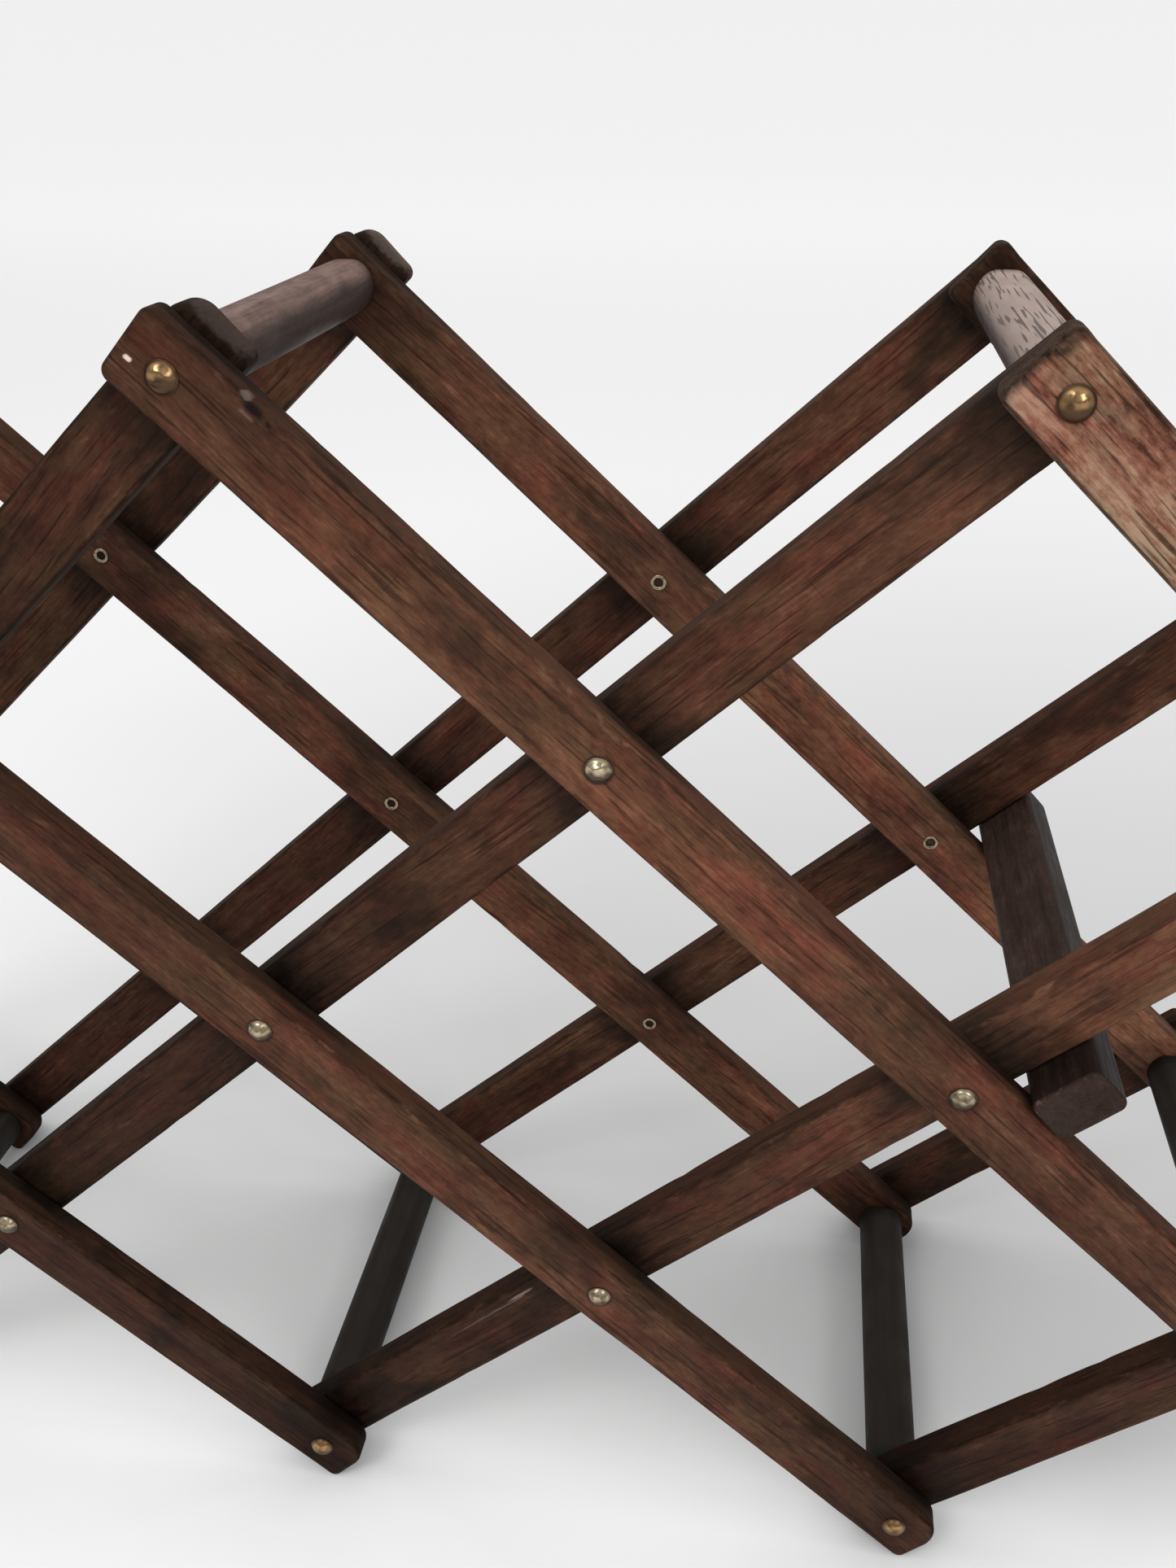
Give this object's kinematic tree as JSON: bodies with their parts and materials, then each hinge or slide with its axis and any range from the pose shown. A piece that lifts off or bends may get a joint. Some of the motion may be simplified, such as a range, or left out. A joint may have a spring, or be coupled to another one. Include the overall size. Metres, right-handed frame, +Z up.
{
  "type": "folding lattice bottle rack",
  "caption": "Folding wooden bottle rack: two scissor lattices of flat slats joined by round crossbars, with domed brass pins and rivets at the pivots.",
  "frame": {"origin": "on the floor, under the middle of the rack's bounding box", "axes": "+X along the rack's length, to the right seen from the front; +Y from front to back; +Z up"},
  "size_m": [0.6016, 0.1546, 0.3844],
  "materials": {
    "slat_wood": "dark reddish-brown stained hardwood, worn satin, with paler arrises",
    "worn_slat_wood": "the same stained hardwood, much worn, paler and pinkish",
    "crossbar_wood": "faded grey-brown hardwood with short dark pores, matt",
    "stop_bar_wood": "dark purple-brown stained hardwood, matt",
    "pin_brass": "polished brass, lightly tarnished",
    "rivet_brass": "polished brass heads, duller rolled tails",
    "dowel_wood": "plain hardwood dowel"
  },
  "bodies": {
    "falling_pair_1": {"front_falling_slat_1": "slat_wood", "back_falling_slat_1": "slat_wood"},
    "rising_pair_1": {"front_rising_slat_1": "slat_wood", "back_rising_slat_1": "slat_wood"},
    "falling_pair_2": {"front_falling_slat_2": "slat_wood", "back_falling_slat_2": "slat_wood", "front_rivets_2": "rivet_brass", "stop_bar_left": "stop_bar_wood", "stop_dowels_left": "dowel_wood"},
    "rising_pair_2": {"front_rising_slat_2": "slat_wood", "back_rising_slat_2": "slat_wood", "back_rivets_2": "rivet_brass"},
    "falling_pair_3": {"front_falling_slat_3": "slat_wood", "back_falling_slat_3": "slat_wood", "front_rivets_3": "rivet_brass"},
    "rising_pair_3": {"front_rising_slat_3": "slat_wood", "back_rising_slat_3": "slat_wood", "back_rivets_3": "rivet_brass"},
    "falling_pair_4": {"front_falling_slat_4": "slat_wood", "back_falling_slat_4": "slat_wood", "front_rivets_4": "rivet_brass"},
    "rising_pair_4": {"front_rising_slat_4": "slat_wood", "back_rising_slat_4": "slat_wood", "back_rivets_4": "rivet_brass", "stop_bar_right": "stop_bar_wood", "stop_dowels_right": "dowel_wood"},
    "falling_pair_5": {"front_falling_slat_5": "worn_slat_wood", "back_falling_slat_5": "slat_wood"},
    "rising_pair_5": {"front_rising_slat_5": "slat_wood", "back_rising_slat_5": "slat_wood"},
    "bar_top_left": {"crossbar_top_left": "crossbar_wood", "pins_top_left": "pin_brass"},
    "bar_top_centre": {"crossbar_top_centre": "crossbar_wood", "pins_top_centre": "pin_brass"},
    "bar_top_right": {"crossbar_top_right": "crossbar_wood", "pins_top_right": "pin_brass"},
    "bar_foot_left": {"crossbar_foot_left": "crossbar_wood", "pins_foot_left": "pin_brass"},
    "bar_foot_centre": {"crossbar_foot_centre": "crossbar_wood", "pins_foot_centre": "pin_brass"},
    "bar_foot_right": {"crossbar_foot_right": "crossbar_wood", "pins_foot_right": "pin_brass"},
    "bar_side_upper_left": {"crossbar_side_upper_left": "crossbar_wood", "pins_side_upper_left": "pin_brass"},
    "bar_side_lower_left": {"crossbar_side_lower_left": "crossbar_wood", "pins_side_lower_left": "pin_brass"},
    "bar_side_upper_right": {"crossbar_side_upper_right": "crossbar_wood", "pins_side_upper_right": "pin_brass"},
    "bar_side_lower_right": {"crossbar_side_lower_right": "crossbar_wood", "pins_side_lower_right": "pin_brass"}
  },
  "joints": [
    {"name": "fold", "type": "hinge", "parent": "bar_foot_centre", "child": "falling_pair_2", "pos_m": [0, 0, 0.01546], "axis": [0, 1, 0], "range_deg": [0, 41.5]},
    {"name": "rising_4_turn", "type": "hinge", "parent": "bar_foot_centre", "child": "rising_pair_4", "pos_m": [0, 0, 0.01546], "axis": [0, 1, 0], "range_deg": [-41.5, 0]},
    {"name": "rising_1_turn", "type": "hinge", "parent": "falling_pair_2", "child": "rising_pair_1", "pos_m": [-0.28523, 0, 0.28144], "axis": [0, 1, 0], "range_deg": [-83, 0]},
    {"name": "rising_2_turn", "type": "hinge", "parent": "falling_pair_2", "child": "rising_pair_2", "pos_m": [-0.19015, 0, 0.19278], "axis": [0, 1, 0], "range_deg": [-83, 0]},
    {"name": "rising_3_turn", "type": "hinge", "parent": "falling_pair_2", "child": "rising_pair_3", "pos_m": [-0.09508, 0, 0.10412], "axis": [0, 1, 0], "range_deg": [-83, 0]},
    {"name": "falling_3_turn", "type": "hinge", "parent": "rising_pair_4", "child": "falling_pair_3", "pos_m": [0.09508, 0, 0.10412], "axis": [0, 1, 0], "range_deg": [0, 83]},
    {"name": "falling_4_turn", "type": "hinge", "parent": "rising_pair_4", "child": "falling_pair_4", "pos_m": [0.19015, 0, 0.19278], "axis": [0, 1, 0], "range_deg": [0, 83]},
    {"name": "falling_5_turn", "type": "hinge", "parent": "rising_pair_4", "child": "falling_pair_5", "pos_m": [0.28523, 0, 0.28144], "axis": [0, 1, 0], "range_deg": [0, 83]},
    {"name": "falling_1_turn", "type": "hinge", "parent": "rising_pair_3", "child": "falling_pair_1", "pos_m": [-0.19015, 0, 0.01546], "axis": [0, 1, 0], "range_deg": [0, 83]},
    {"name": "rising_5_turn", "type": "hinge", "parent": "falling_pair_3", "child": "rising_pair_5", "pos_m": [0.19015, 0, 0.01546], "axis": [0, 1, 0], "range_deg": [-83, 0]},
    {"name": "top_left_bar_turn", "type": "hinge", "parent": "falling_pair_3", "child": "bar_top_left", "pos_m": [-0.19015, 0, 0.3701], "axis": [0, 1, 0], "range_deg": [-41.5, 0]},
    {"name": "top_centre_bar_turn", "type": "hinge", "parent": "falling_pair_4", "child": "bar_top_centre", "pos_m": [0, 0, 0.3701], "axis": [0, 1, 0], "range_deg": [-41.5, 0]},
    {"name": "top_right_bar_turn", "type": "hinge", "parent": "falling_pair_5", "child": "bar_top_right", "pos_m": [0.19015, 0, 0.3701], "axis": [0, 1, 0], "range_deg": [-41.5, 0]},
    {"name": "foot_right_bar_turn", "type": "hinge", "parent": "falling_pair_3", "child": "bar_foot_right", "pos_m": [0.19015, 0, 0.01546], "axis": [0, 1, 0], "range_deg": [-41.5, 0]},
    {"name": "side_upper_left_bar_turn", "type": "hinge", "parent": "falling_pair_2", "child": "bar_side_upper_left", "pos_m": [-0.28523, 0, 0.28144], "axis": [0, 1, 0], "range_deg": [-41.5, 0]},
    {"name": "side_lower_right_bar_turn", "type": "hinge", "parent": "falling_pair_4", "child": "bar_side_lower_right", "pos_m": [0.28523, 0, 0.10412], "axis": [0, 1, 0], "range_deg": [-41.5, 0]},
    {"name": "foot_left_bar_turn", "type": "hinge", "parent": "rising_pair_3", "child": "bar_foot_left", "pos_m": [-0.19015, 0, 0.01546], "axis": [0, 1, 0], "range_deg": [0, 41.5]},
    {"name": "side_lower_left_bar_turn", "type": "hinge", "parent": "rising_pair_2", "child": "bar_side_lower_left", "pos_m": [-0.28523, 0, 0.10412], "axis": [0, 1, 0], "range_deg": [0, 41.5]},
    {"name": "side_upper_right_bar_turn", "type": "hinge", "parent": "rising_pair_4", "child": "bar_side_upper_right", "pos_m": [0.28523, 0, 0.28144], "axis": [0, 1, 0], "range_deg": [0, 41.5]}
  ],
  "couplings": [
    {"joint": "rising_4_turn", "follows": "fold", "ratio": -1},
    {"joint": "rising_1_turn", "follows": "fold", "ratio": -2},
    {"joint": "rising_2_turn", "follows": "fold", "ratio": -2},
    {"joint": "rising_3_turn", "follows": "fold", "ratio": -2},
    {"joint": "falling_3_turn", "follows": "fold", "ratio": 2},
    {"joint": "falling_4_turn", "follows": "fold", "ratio": 2},
    {"joint": "falling_5_turn", "follows": "fold", "ratio": 2},
    {"joint": "falling_1_turn", "follows": "fold", "ratio": 2},
    {"joint": "rising_5_turn", "follows": "fold", "ratio": -2},
    {"joint": "top_left_bar_turn", "follows": "fold", "ratio": -1},
    {"joint": "top_centre_bar_turn", "follows": "fold", "ratio": -1},
    {"joint": "top_right_bar_turn", "follows": "fold", "ratio": -1},
    {"joint": "foot_right_bar_turn", "follows": "fold", "ratio": -1},
    {"joint": "side_upper_left_bar_turn", "follows": "fold", "ratio": -1},
    {"joint": "side_lower_right_bar_turn", "follows": "fold", "ratio": -1},
    {"joint": "foot_left_bar_turn", "follows": "fold", "ratio": 1},
    {"joint": "side_lower_left_bar_turn", "follows": "fold", "ratio": 1},
    {"joint": "side_upper_right_bar_turn", "follows": "fold", "ratio": 1}
  ]
}
